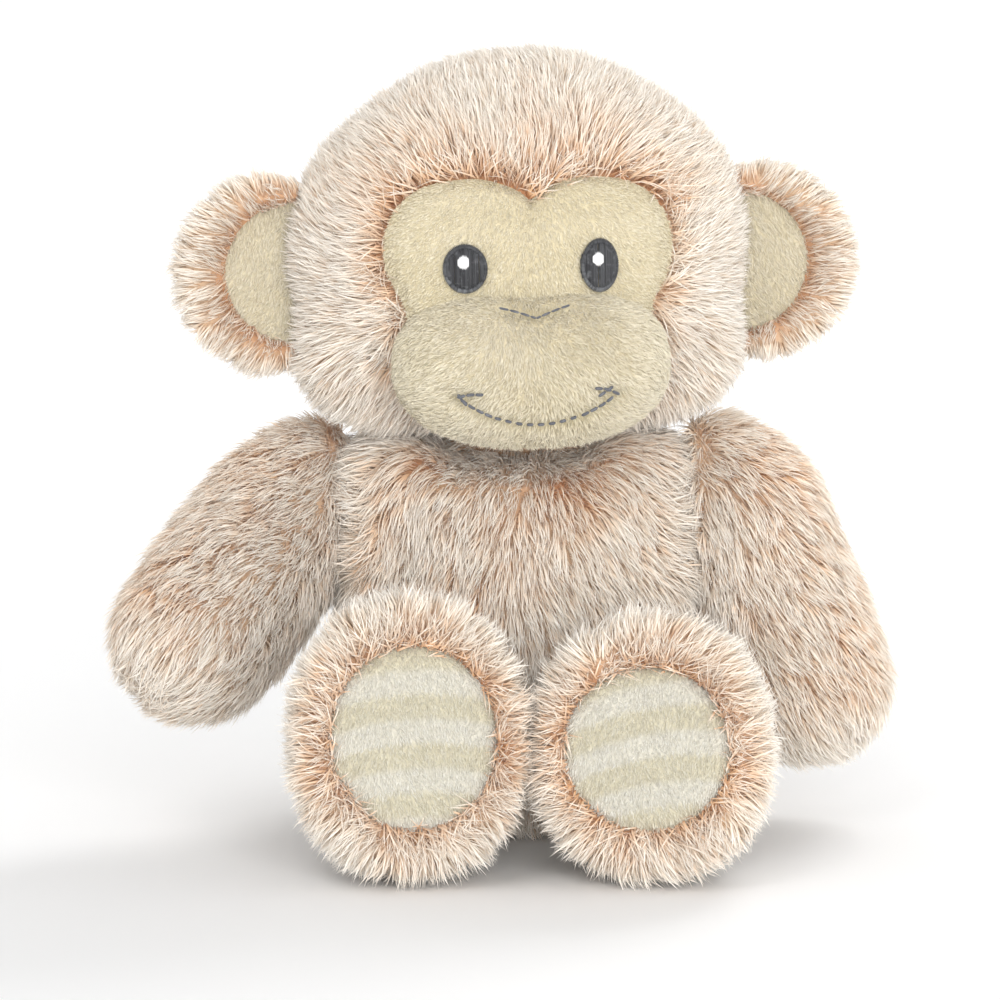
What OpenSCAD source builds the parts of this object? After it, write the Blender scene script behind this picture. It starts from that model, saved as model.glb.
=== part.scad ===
// Stuffed monkey sitting on the floor, facing -Y, +Z up, sizes in millimetres.
// Every soft piece is a closed solid; the outer faces lie at the average height of the fur.
// "right" and "left" are the monkey's own: its right side is on -X, its left side on +X.

/* [Torso] */
// Height of the torso from the floor to the flat under the head
torso_h = 90.5; // [75:0.5:110]
// Largest width of the torso
torso_w = 82; // [70:1:96]
// Width of the flat seat panel
seat_w = 46; // [36:1:54]

/* [Head] */
// Width of the head
head_w = 110; // [96:1:124]
// Height and depth of the head
head_h = 94; // [84:1:106]
// How far the head leans forward of the neck
head_fwd = 3; // [0:0.5:6]
// How far the head is turned to its left, degrees
head_turn = 4.5; // [0:0.5:10]
// How far the left ear is higher than the right, degrees
head_tilt = 1.3; // [0:0.1:4]
// Width of the strip of fur over the crown
crown_w = 34; // [24:1:44]
// Width of the muzzle
muzzle_w = 65; // [54:1:74]
// Height and depth of the muzzle
muzzle_h = 40; // [34:1:46]

/* [Face] */
// Width of the heart-shaped upper face
face_w = 66; // [56:1:74]
// Height of the face above the middle of the head
face_top = 17.2; // [14:0.2:21]
// Distance between the middles of the eyes
eye_gap = 30.6; // [26:0.2:36]
// Width of an embroidered eye
eye_w = 9.8; // [8:0.2:12]
// Height of an embroidered eye
eye_h = 12; // [10:0.2:14]
// Width of the embroidered smile
mouth_w = 35; // [28:1:40]
// Thickness of the embroidery on the cloth
stitch_t = 0.8; // [0.5:0.1:1.2]

/* [Ears] */
// Diameter of an ear
ear_d = 47.6; // [40:0.2:54]
// Thickness of an ear
ear_t = 10; // [8:0.5:12]
// Diameter of the cream lining of an ear
lining_d = 34; // [28:1:38]

/* [Arms] */
// Length of an arm between the middles of the shoulder and of the hand
arm_len = 42; // [36:1:48]
// Diameter of the shoulder
shoulder_d = 42; // [36:1:44]
// Diameter of the hand
hand_d = 42; // [38:1:46]
// Outward lean of the right arm, degrees
lean_right = 38; // [24:1:42]
// Outward lean of the left arm, degrees
lean_left = 21; // [18:1:34]
// Forward swing of the right arm as it rests, degrees
rest_right = 40; // [0:1:45]
// Forward swing of the left arm as it rests, degrees
rest_left = 4; // [0:1:35]

/* [Legs] */
// Distance between the middles of the two feet
feet_gap = 55.8; // [55.6:0.2:62]
// Shift of the pair of feet to the left of the body
feet_shift = 3; // [0:0.1:5]
// Length of a leg from hip to sole
leg_len = 50; // [44:1:56]
// Width of a foot
foot_w = 55; // [48:0.5:55]
// Height of the right foot
foot_h_right = 64.6; // [58:0.2:68]
// Height of the left foot
foot_h_left = 60; // [56:0.2:66]
// How far each sole tips back to face up, degrees
sole_tilt = 10; // [0:1:14]
// How far each sole is turned inwards, degrees
toe_in = 8; // [0:1:12]
// Width of a sole pad
pad_w = 38; // [32:0.5:40]

/* [Tail] */
// Bend radius of the tail
tail_r = 24; // [18:1:30]
// Thickness of the tail
tail_d = 13; // [10:0.5:16]

/* [Cloth] */
// Thickness of the furry cloth with its pile pressed to the average
pile_t = 5; // [4:0.5:7]
// Free space left between neighbouring pieces
gap = 0.3; // [0.2:0.1:0.5]

/* [Hidden] */
fur = "#dcc9b8";
plush = "#ddd3b8";
wadding = "#f1efe9";
grain = "#cfd3d6";
thread = "#3d3f44";
big = 400;
seat_t = 3;
neck_r = 12;
neck_z = torso_h + 3.5;
head_z = torso_h + 2 + head_h / 2;
muzzle_y = -35 * head_h / 94;
muzzle_z = -25.5 * head_h / 94;
ear_x = head_w / 2 + ear_t / 2 + gap;
ear_z = -5.5;
arm_plane = torso_w / 2 + 2 * gap;
shoulder_x = arm_plane + shoulder_d / 2 - 8;
shoulder_z = torso_h - shoulder_d / 2 + 5;
hip_r = 17;
hip_y = -torso_w / 2 + 2;
tail_y = torso_w / 2;
tail_z = 20;

// A round solid about X: half length a, greatest radius b, power p (2 is an ellipse).
module ovoid(a, b, p) {
    steps = 18;
    pts = [for (i = [1 : steps - 1])
        let (t = 180 * i / steps, c = cos(t), s = sin(t))
        [b * pow(s, 2 / p), a * (c < 0 ? -1 : 1) * pow(abs(c), 2 / p)]];
    rotate([0, 90, 0]) rotate_extrude($fn = 48) polygon(concat([[0, -a]], [for (i = [1 : steps - 1])
        pts[steps - 1 - i]], [[0, a]]));
}

// ---- torso ----
module pear(t) {
    w = torso_w / 2 - t;
    k = (torso_h - 2 * t) / 90.5;
    f = seat_w / 2;
    translate([0, 0, t]) rotate_extrude($fn = 48) polygon([[0, 0], [f - t / 2, 0],
        [w * 0.82, 5 * k], [w * 0.94, 15 * k], [w * 0.99, 27 * k], [w, 40 * k], [w * 0.995, 55 * k],
        [w * 0.96, 68 * k], [w * 0.9, 78 * k], [w * 0.8, 85 * k], [w * 0.64, 89.3 * k],
        [w * 0.45, 90.5 * k], [0, 90.5 * k]]);
}

module seat_cut(extra) {
    translate([0, 0, -1]) cylinder(h = seat_t + 1 + extra, d = seat_w - 2 + 2 * extra, $fn = 48);
}

module torso_shell() {
    difference() {
        pear(0);
        pear(pile_t);
        seat_cut(0);
        translate([0, 0, neck_z]) sphere(r = neck_r + gap, $fn = 48);
        hip_pocket(-1);
        hip_pocket(1);
        tail_pocket();
    }
}

module back_half(side) {
    translate([side < 0 ? -big : 0, 0, -1]) cube([big, big, big]);
}

module torso_front() color(fur) {
    difference() {
        torso_shell();
        translate([-big / 2, 0, -1]) cube([big, big, big]);
    }
}

module torso_back(side) color(fur) {
    difference() {
        intersection() {
            torso_shell();
            back_half(side);
        }
        label_slot(gap);
    }
}

module seat_panel() color(fur) {
    intersection() {
        pear(0);
        translate([0, 0, -1]) cylinder(h = seat_t + 1, d = seat_w - 2 - 2 * gap, $fn = 48);
    }
}

module torso_stuffing() color(wadding) {
    difference() {
        pear(pile_t + gap);
        translate([0, 0, neck_z]) sphere(r = neck_r + gap, $fn = 48);
        hip_pocket(-1);
        hip_pocket(1);
        tail_pocket();
        seat_bag(gap);
    }
}

module seat_bag(extra) {
    translate([0, 6, 20]) ovoid(22 + extra, 11 + extra, 2);
}

module seat_beans() color(grain) seat_bag(0);

module label_slot(extra) {
    rotate(-35) translate([-12, tail_y - 14, 36]) cube([24, 30, 1 + 2 * extra]);
}

module care_label() color("#f4f3ef") {
    intersection() {
        rotate(-35) translate([-11.5, tail_y - pile_t + gap + 1, 36 + gap]) cube([23, 16, 1]);
        cylinder(h = big, r = torso_w / 2 + 9, $fn = 48);
    }
}

// ---- neck and head ----
module neck_stuffing() color(wadding) {
    translate([0, 0, neck_z]) sphere(r = neck_r, $fn = 48);
}

module at_head() {
    translate([0, -head_fwd, head_z]) rotate([0, -head_tilt, head_turn]) children();
}

module skull(t) {
    ovoid(head_w / 2 - t, head_h / 2 - t, 2);
}

module muzzle(t) {
    translate([0, muzzle_y, muzzle_z]) ovoid(muzzle_w / 2 - t, muzzle_h / 2 - t, 2.3);
}

module neck_hole() {
    translate([0, 0, neck_z]) sphere(r = neck_r + gap, $fn = 48);
}

module head_shell() {
    difference() {
        skull(0);
        skull(pile_t);
        muzzle(-gap);
    }
}

// Outline of the upper face seen from the front, closed behind the muzzle.
module heart(extra) {
    w = face_w / 2 + extra;
    h = face_top + extra;
    right = [[0, h - 4.6], [w * 0.13, h - 2.4], [w * 0.3, h - 0.5], [w * 0.46, h],
        [w * 0.66, h - 0.8], [w * 0.84, h - 4], [w * 0.96, h - 10], [w, h - 16.5],
        [w * 0.97, h - 22], [w * 0.87, h - 28], [w * 0.8, h - 34]];
    n = len(right);
    rotate([90, 0, 0]) linear_extrude(height = big) polygon(concat(right,
        [for (i = [1 : n - 1]) [-right[n - i][0], right[n - i][1]]]));
}

module face_panel() color(plush) {
    at_head() intersection() {
        head_shell();
        heart(0);
    }
}

module muzzle_panel() color(plush) {
    at_head() difference() {
        muzzle(0);
        muzzle(4);
        skull(-gap);
    }
}

module crown_band(w) {
    translate([-w / 2, -big / 2, -big / 2]) cube([w, big, big]);
}

module below_front() {
    translate([-big / 2, -big, -big]) cube([big, big, big]);
}

module head_fur() {
    difference() {
        at_head() difference() {
            head_shell();
            heart(gap);
        }
        neck_hole();
    }
}

module head_side(side) color(fur) {
    difference() {
        head_fur();
        at_head() crown_band(crown_w);
        at_head() translate([side < 0 ? 0 : -big, -big / 2, -big / 2]) cube([big, big, big]);
    }
}

module head_crown() color(fur) {
    difference() {
        intersection() {
            head_fur();
            at_head() crown_band(crown_w - 2 * gap);
        }
        at_head() below_front();
    }
}

module head_chin() color(fur) {
    intersection() {
        head_fur();
        at_head() crown_band(crown_w - 2 * gap);
        at_head() below_front();
    }
}

module head_stuffing() color(wadding) {
    difference() {
        at_head() union() {
            skull(pile_t + gap);
            muzzle(4 + gap);
        }
        neck_hole();
    }
}

// ---- embroidery ----
module oval(a, b) {
    polygon([for (i = [0 : 31]) [a * cos(i * 11.25), b * sin(i * 11.25)]]);
}

module oval_prism(x, z, w, h) {
    translate([x, 0, z]) rotate([90, 0, 0]) linear_extrude(height = big) oval(w / 2, h / 2);
}

module eye(side) color(thread) {
    at_head() difference() {
        intersection() {
            skull(-gap - stitch_t);
            oval_prism(side * eye_gap / 2, -2.7, eye_w, eye_h);
        }
        skull(-gap);
    }
}

module glint(side) color("#f6f6f4") {
    at_head() difference() {
        intersection() {
            skull(-2 * gap - 1.5 * stitch_t);
            oval_prism(side * eye_gap / 2 - 0.4, -1.2, 2.8, 2.8);
        }
        skull(-2 * gap - stitch_t);
    }
}

module on_muzzle() {
    at_head() difference() {
        intersection() {
            muzzle(-gap - stitch_t);
            rotate([90, 0, 0]) linear_extrude(height = big) children();
        }
        muzzle(-gap);
        translate([-big / 2, -30 * head_h / 94, -big / 2]) cube([big, big, big]);
    }
}

module stroke(x1, y1, x2, y2, w) {
    a = atan2(y2 - y1, x2 - x1);
    l = norm([x2 - x1, y2 - y1]);
    translate([x1, y1]) rotate(a) translate([-w / 2, -w / 2]) square([l + w, w]);
}

module nose_stitches() color("#8b8c90") {
    on_muzzle() union() {
        stroke(-7.8, -11.8, 0, -13.8, 0.9);
        stroke(0, -13.8, 7.8, -11.8, 0.9);
    }
}

module mouth_stitches() color("#6f7176") {
    m = mouth_w / 2;
    on_muzzle() union() {
        stroke(-m, -31.8, -m * 0.6, -35.8, 0.9);
        stroke(-m * 0.6, -35.8, 0, -38, 0.9);
        stroke(0, -38, m * 0.6, -35.8, 0.9);
        stroke(m * 0.6, -35.8, m, -31.8, 0.9);
        stroke(-m - 0.4, -32, -m + 6, -31, 0.9);
        stroke(m - 6, -31, m + 0.4, -32, 0.9);
    }
}

// ---- ears ----
module ear_disc(t) {
    r = ear_d / 2 - t;
    h = ear_t / 2 - t;
    rotate([90, 0, 0]) rotate_extrude($fn = 48) polygon([[0, -h], [r * 0.72, -h],
        [r * 0.9, -h * 0.78], [r * 0.98, -h * 0.4], [r, 0], [r * 0.98, h * 0.4],
        [r * 0.9, h * 0.78], [r * 0.72, h], [0, h]]);
}

module ear_region(side) {
    translate([side * ear_x, 0, ear_z]) union() {
        translate([side < 0 ? -big : 0, -big / 2, -big / 2]) cube([big, big, big]);
        translate([0, 0, -big / 2]) cylinder(h = big, r = ear_t / 2, $fn = 36);
    }
}

module lining_cut(side, extra) {
    translate([side * (ear_x - 8.2), 0, ear_z - 0.3]) rotate([90, 0, 0])
        cylinder(h = big, d = lining_d + 2 * extra, $fn = 48);
}

module ear_at(side) {
    translate([side * (ear_x - ear_t / 2 + 2 - 0.2 * (head_w - 110)), 0, ear_z]) children();
}

module ear_fur(side) color(fur) {
    at_head() difference() {
        intersection() {
            ear_at(side) ear_disc(0);
            ear_region(side);
        }
        translate([0, -1.2, 0]) lining_cut(side, 0);
    }
}

module ear_lining(side) color(plush) {
    at_head() intersection() {
        ear_at(side) translate([0, 1, 0]) ear_disc(0);
        ear_region(side);
        translate([0, -1.2 - gap, 0]) lining_cut(side, -gap);
    }
}

// ---- arms ----
module arm_solid(t) {
    a = shoulder_d / 2 - t;
    h = hand_d / 2 - t;
    up = [for (i = [1 : 7]) [a * sin(i * 90 / 7), a * cos(i * 90 / 7)]];
    down = [for (i = [0 : 6]) [h * cos(i * 90 / 7), -arm_len - h * sin(i * 90 / 7)]];
    rotate_extrude($fn = 48) polygon(concat([[0, a]], up,
        [[a * 1.03, -arm_len * 0.3], [(a + h) / 2 + 0.8, -arm_len * 0.65]], down,
        [[0, -arm_len - h]]));
}

module arm_place(side) {
    lean = side < 0 ? lean_right : lean_left;
    swing = side < 0 ? rest_right : rest_left;
    translate([side * shoulder_x, 2, shoulder_z]) rotate([-swing, -side * lean, 0]) children();
}

module beyond_torso(side) {
    translate([side < 0 ? -arm_plane - big : arm_plane, -big / 2, -big / 2]) cube([big, big, big]);
}

module arm_shell(side) {
    intersection() {
        arm_place(side) difference() {
            arm_solid(0);
            arm_solid(pile_t);
        }
        beyond_torso(side);
    }
}

module arm_half(side, outer) {
    s = outer ? side : -side;
    arm_place(side) translate([s < 0 ? -big : 0, -big / 2, -big / 2]) cube([big, big, big]);
}

module arm_outer(side) color(fur) {
    intersection() {
        arm_shell(side);
        arm_half(side, true);
    }
}

module arm_inner(side) color(fur) {
    intersection() {
        arm_shell(side);
        arm_half(side, false);
    }
}

module arm_stuffing(side) color(wadding) {
    intersection() {
        arm_place(side) arm_solid(pile_t + gap);
        beyond_torso(side);
    }
}

// ---- legs ----
function foot_h(side) = side < 0 ? foot_h_right : foot_h_left;
function foot_x(side) = feet_shift + side * feet_gap / 2;
function hip_z(side) = foot_h(side) / 2 + gap;
function sole_y() = hip_y - leg_len;
function heel_y() = sole_y() + foot_w * 0.32;

module at_hip(side) {
    translate([foot_x(side), hip_y, hip_z(side)]) rotate([90, 0, 0]) children();
}

module hip_pocket(side) {
    at_hip(side) sphere(r = hip_r + gap, $fn = 48);
}

// The sleeve of a leg: a ball at the hip, a slight waist so the leg can lift, and a tube that
// runs into the foot.
module sleeve(side, t) {
    q = hip_r - t;
    ball = [for (i = [1 : 6]) [q * sin(i * 15), -q * cos(i * 15)]];
    at_hip(side) rotate(17) rotate_extrude($fn = 48) polygon(concat([[0, -q]], ball,
        [[q - 1.6, 7], [q + 3, hip_y - heel_y() + t], [0, hip_y - heel_y() + t]]));
}

module at_foot(side) {
    translate([foot_x(side), heel_y(), hip_z(side)]) rotate([-sole_tilt, 0, -side * toe_in])
        children();
}

// The foot: an upright egg cut flat at the sole.
module egg(side, t) {
    at_foot(side) rotate([0, 90, 0]) rotate([31, 0, 0]) ovoid(foot_h(side) / 2 - t, foot_w / 2 - t, 2.25);
}

module foot_solid(side, t) {
    difference() {
        egg(side, t);
        at_foot(side) translate([-big / 2, sole_y() - heel_y() + t - big, -big / 2]) cube([big, big, big]);
    }
}

module pad_cut(side, extra) {
    w = pad_w / 2 + extra;
    h = (pad_w + (foot_h(side) - 61)) / 2 + extra;
    at_foot(side) translate([0, sole_y() - heel_y() + pile_t + gap, 0]) rotate([90, 0, 0])
        linear_extrude(height = 40) oval(w, h);
}

module leg_fur(side) color(fur) {
    difference() {
        sleeve(side, 0);
        sleeve(side, pile_t);
        egg(side, -gap);
    }
}

module foot_fur(side) color(fur) {
    difference() {
        foot_solid(side, 0);
        foot_solid(side, pile_t);
        sleeve(side, pile_t);
        pad_cut(side, 0);
    }
}

module sole_pad(side) color(plush) {
    difference() {
        intersection() {
            foot_solid(side, 0);
            pad_cut(side, -gap);
        }
        foot_solid(side, pile_t);
    }
}

module foot_bag(side, extra) {
    translate([foot_x(side), heel_y() + 2, hip_z(side) - 13]) ovoid(12 + extra, 9 + extra, 2);
}

module foot_beans(side) color(grain) foot_bag(side, 0);

module leg_stuffing(side) color(wadding) {
    difference() {
        union() {
            sleeve(side, pile_t + gap);
            foot_solid(side, pile_t + gap);
        }
        foot_bag(side, gap);
    }
}

// ---- tail ----
module tail_pocket() {
    translate([0, tail_y, tail_z]) sphere(d = tail_d + 2 * gap, $fn = 48);
}

module tail_solid(t) {
    r = tail_d / 2 - t;
    translate([0, tail_y, tail_z]) union() {
        sphere(r = r, $fn = 36);
        translate([0, 0, tail_r]) rotate([0, 90, 0])
            rotate_extrude(angle = 100, $fn = 48) translate([tail_r, 0]) circle(r = r, $fn = 36);
        translate([0, tail_r * sin(100), tail_r - tail_r * cos(100)]) sphere(r = r, $fn = 36);
    }
}

module tail_fur() color(fur) {
    difference() {
        tail_solid(0);
        tail_solid(3 + gap);
    }
}

module tail_stuffing() color(wadding) tail_solid(3 + 2 * gap);

torso_front();
torso_back(-1);  // torso_back_right
torso_back(1);  // torso_back_left
seat_panel();
torso_stuffing();
seat_beans();
care_label();
neck_stuffing();
head_side(-1);  // head_side_right
head_side(1);  // head_side_left
head_crown();
head_chin();
face_panel();
muzzle_panel();
eye(-1);  // eye_right
eye(1);  // eye_left
glint(-1);  // eye_glint_right
glint(1);  // eye_glint_left
nose_stitches();
mouth_stitches();
head_stuffing();
ear_fur(-1);  // ear_fur_right
ear_lining(-1);  // ear_lining_right
ear_fur(1);  // ear_fur_left
ear_lining(1);  // ear_lining_left
arm_outer(-1);  // arm_outer_right
arm_inner(-1);  // arm_inner_right
arm_stuffing(-1);  // arm_stuffing_right
arm_outer(1);  // arm_outer_left
arm_inner(1);  // arm_inner_left
arm_stuffing(1);  // arm_stuffing_left
leg_fur(-1);  // leg_fur_right
foot_fur(-1);  // foot_fur_right
sole_pad(-1);  // sole_pad_right
leg_stuffing(-1);  // leg_stuffing_right
foot_beans(-1);  // foot_beans_right
leg_fur(1);  // leg_fur_left
foot_fur(1);  // foot_fur_left
sole_pad(1);  // sole_pad_left
leg_stuffing(1);  // leg_stuffing_left
foot_beans(1);  // foot_beans_left
tail_fur();
tail_stuffing();
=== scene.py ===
import math
import bmesh
import bpy
import numpy as np
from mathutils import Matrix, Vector


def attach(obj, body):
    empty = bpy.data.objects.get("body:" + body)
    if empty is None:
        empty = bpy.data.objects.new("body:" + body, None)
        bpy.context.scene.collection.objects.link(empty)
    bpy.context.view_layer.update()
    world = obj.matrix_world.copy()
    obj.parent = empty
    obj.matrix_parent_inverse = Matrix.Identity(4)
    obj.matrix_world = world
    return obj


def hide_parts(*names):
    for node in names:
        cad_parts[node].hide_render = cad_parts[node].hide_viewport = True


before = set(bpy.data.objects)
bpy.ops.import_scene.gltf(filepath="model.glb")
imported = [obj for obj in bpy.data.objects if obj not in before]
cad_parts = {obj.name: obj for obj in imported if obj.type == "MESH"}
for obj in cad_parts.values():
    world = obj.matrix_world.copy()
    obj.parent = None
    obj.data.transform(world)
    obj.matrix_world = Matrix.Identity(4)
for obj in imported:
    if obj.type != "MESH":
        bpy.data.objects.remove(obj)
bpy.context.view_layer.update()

# Sizes are in millimetres here and become metres when a mesh is made.
MM = 0.001
HEAD_MID = np.array([0.0, -3.0, 139.5])
HEAD_A, HEAD_B = 55.0, 47.0
TURN, TILT = math.radians(4.5), math.radians(-1.3)
MUZZLE_MID = np.array([0.0, -35.0, -25.5])
TORSO = [(0, 0), (23, 0), (33.6, 5), (38.5, 15), (40.6, 27), (41, 40), (40.8, 55),
         (39.8, 68), (38.6, 77), (36.4, 84), (31.5, 89.6), (21, 92.5), (0, 92.5)]
ARM_PLANE = 41.6
SHOULDER = {-1: np.array([-54.6, 2.0, 74.5]), 1: np.array([54.6, 2.0, 74.5])}
ARM_LEAN = {-1: 38.0, 1: 21.0}
ARM_SWING = {-1: 40.0, 1: 4.0}
FOOT_X = {-1: -24.9, 1: 30.9}
FOOT_H = {-1: 64.6, 1: 60.0}
FOOT_R, SOLE_TILT, TOE_IN = 27.5, 10.0, 8.0
HIP_Y, HEEL_Y, SOLE = -39.0, -71.4, -17.6
SKIN = 4.6
SIDE = {-1: "right", 1: "left"}
rng = np.random.default_rng(7)


# ---------- node trees ----------
class Sock:
    """A socket in a node tree; arithmetic on it adds Math or Vector Math nodes."""

    def __init__(self, tree, out):
        self.tree, self.out = tree, out

    @property
    def vector(self):
        return self.out.type in ("VECTOR", "RGBA")

    def _op(self, name, a, b):
        vec = any(isinstance(x, Sock) and x.vector for x in (a, b))
        if vec and name == "MULTIPLY" and not all(isinstance(x, Sock) and x.vector for x in (a, b)):
            v, s = (a, b) if isinstance(a, Sock) and a.vector else (b, a)
            if not isinstance(s, (tuple, list)):
                return self.tree.add("ShaderNodeVectorMath", {"operation": "SCALE"}, {0: v, "Scale": s})
        kind = "ShaderNodeVectorMath" if vec else "ShaderNodeMath"
        return self.tree.add(kind, {"operation": name}, {0: a, 1: b})

    def __add__(self, o): return self._op("ADD", self, o)
    def __radd__(self, o): return self._op("ADD", o, self)
    def __sub__(self, o): return self._op("SUBTRACT", self, o)
    def __rsub__(self, o): return self._op("SUBTRACT", o, self)
    def __mul__(self, o): return self._op("MULTIPLY", self, o)
    def __rmul__(self, o): return self._op("MULTIPLY", o, self)
    def __truediv__(self, o): return self._op("DIVIDE", self, o)
    def __pow__(self, o): return self._op("POWER", self, o)


class Tree:
    def __init__(self, tree):
        self.tree = tree

    def node(self, kind, settings=None, values=None):
        n = self.tree.nodes.new(kind)
        for k, v in (settings or {}).items():
            if k == "stops":
                ramp = n.color_ramp
                while len(ramp.elements) < len(v):
                    ramp.elements.new(0.5)
                for e, (pos, col) in zip(ramp.elements, v):
                    e.position, e.color = pos, (*col, 1)
            else:
                setattr(n, k, v)
        for k, v in (values or {}).items():
            if isinstance(k, int):
                s = n.inputs[k]
            else:
                s = next(i for i in n.inputs if i.enabled and k in (i.name, i.identifier))
            if isinstance(v, Sock):
                self.tree.links.new(v.out, s)
            elif hasattr(s.default_value, "__len__") and not hasattr(v, "__len__"):
                s.default_value = (v,) * len(s.default_value)
            else:
                s.default_value = v
        return n

    def add(self, kind, settings=None, values=None, out=0):
        n = self.node(kind, settings, values)
        outs = [o for o in n.outputs if o.enabled]
        return Sock(self, outs[out] if isinstance(out, int) else n.outputs[out])

    def named(self, name, kind):
        return self.add("GeometryNodeInputNamedAttribute", {"data_type": kind}, {"Name": name})

    def keep(self, geo, name, kind, value, domain="POINT"):
        return self.add("GeometryNodeStoreNamedAttribute", {"data_type": kind, "domain": domain},
                        {"Geometry": geo, "Name": name, "Value": value})

    def unit(self, v):
        return self.add("ShaderNodeVectorMath", {"operation": "NORMALIZE"}, {0: v})

    def cross(self, a, b):
        return self.add("ShaderNodeVectorMath", {"operation": "CROSS_PRODUCT"}, {0: a, 1: b})

    def random_vector(self, size, seed):
        return self.add("FunctionNodeRandomValue", {"data_type": "FLOAT_VECTOR"},
                        {"Min": (-size,) * 3, "Max": (size,) * 3, "Seed": seed})

    def random_number(self, lo, hi, seed):
        return self.add("FunctionNodeRandomValue", {"data_type": "FLOAT"},
                        {"Min": lo, "Max": hi, "Seed": seed})

    def smooth(self, v, lo, hi):
        return self.add("ShaderNodeMapRange", {"interpolation_type": "SMOOTHSTEP"},
                        {"Value": v, "From Min": lo, "From Max": hi})

    def mix(self, f, a, b):
        return self.add("ShaderNodeMix", {"data_type": "RGBA"}, {"Factor": f, "A": a, "B": b})


def blade(name, rows):
    """One fibre as a strip that narrows to a point, with its place along and across stored."""
    verts, t, s, faces = [], [], [], []
    for row, half in rows:
        for k in ((-1, 1) if half else (0,)):
            verts.append((k * half, 0, row))
            t.append(row)
            s.append(k * half)
    n = len(rows)
    for i in range(n - 2):
        a = 2 * i
        faces.append((a, a + 1, a + 3, a + 2))
    a = 2 * (n - 2)
    faces.append((a, a + 1, a + 2))
    me = bpy.data.meshes.new(name)
    me.from_pydata(verts, [], faces)
    for key, vals in (("along", t), ("across", s)):
        me.attributes.new(key, "FLOAT", "POINT").data.foreach_set("value", vals)
    return bpy.data.objects.new(name, me)


LONG = blade("long_fibre", [(0, 0.42), (0.36, 0.5), (0.72, 0.34), (1, 0)])
SHORT = blade("short_fibre", [(0, 0.5), (0.55, 0.45), (1, 0)])

PILE_INPUTS = [("Density", "Float", 3.0e6), ("Locks", "Float", 0.07e6), ("Width", "Float", 0.0004),
               ("Stand", "Float", 0.55), ("Gather", "Float", 0.6), ("Frizz", "Float", 0.25),
               ("Sway", "Float", 0.3), ("Seed", "Int", 1), ("Fibre", "Object", None),
               ("Finish", "Material", None)]


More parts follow.
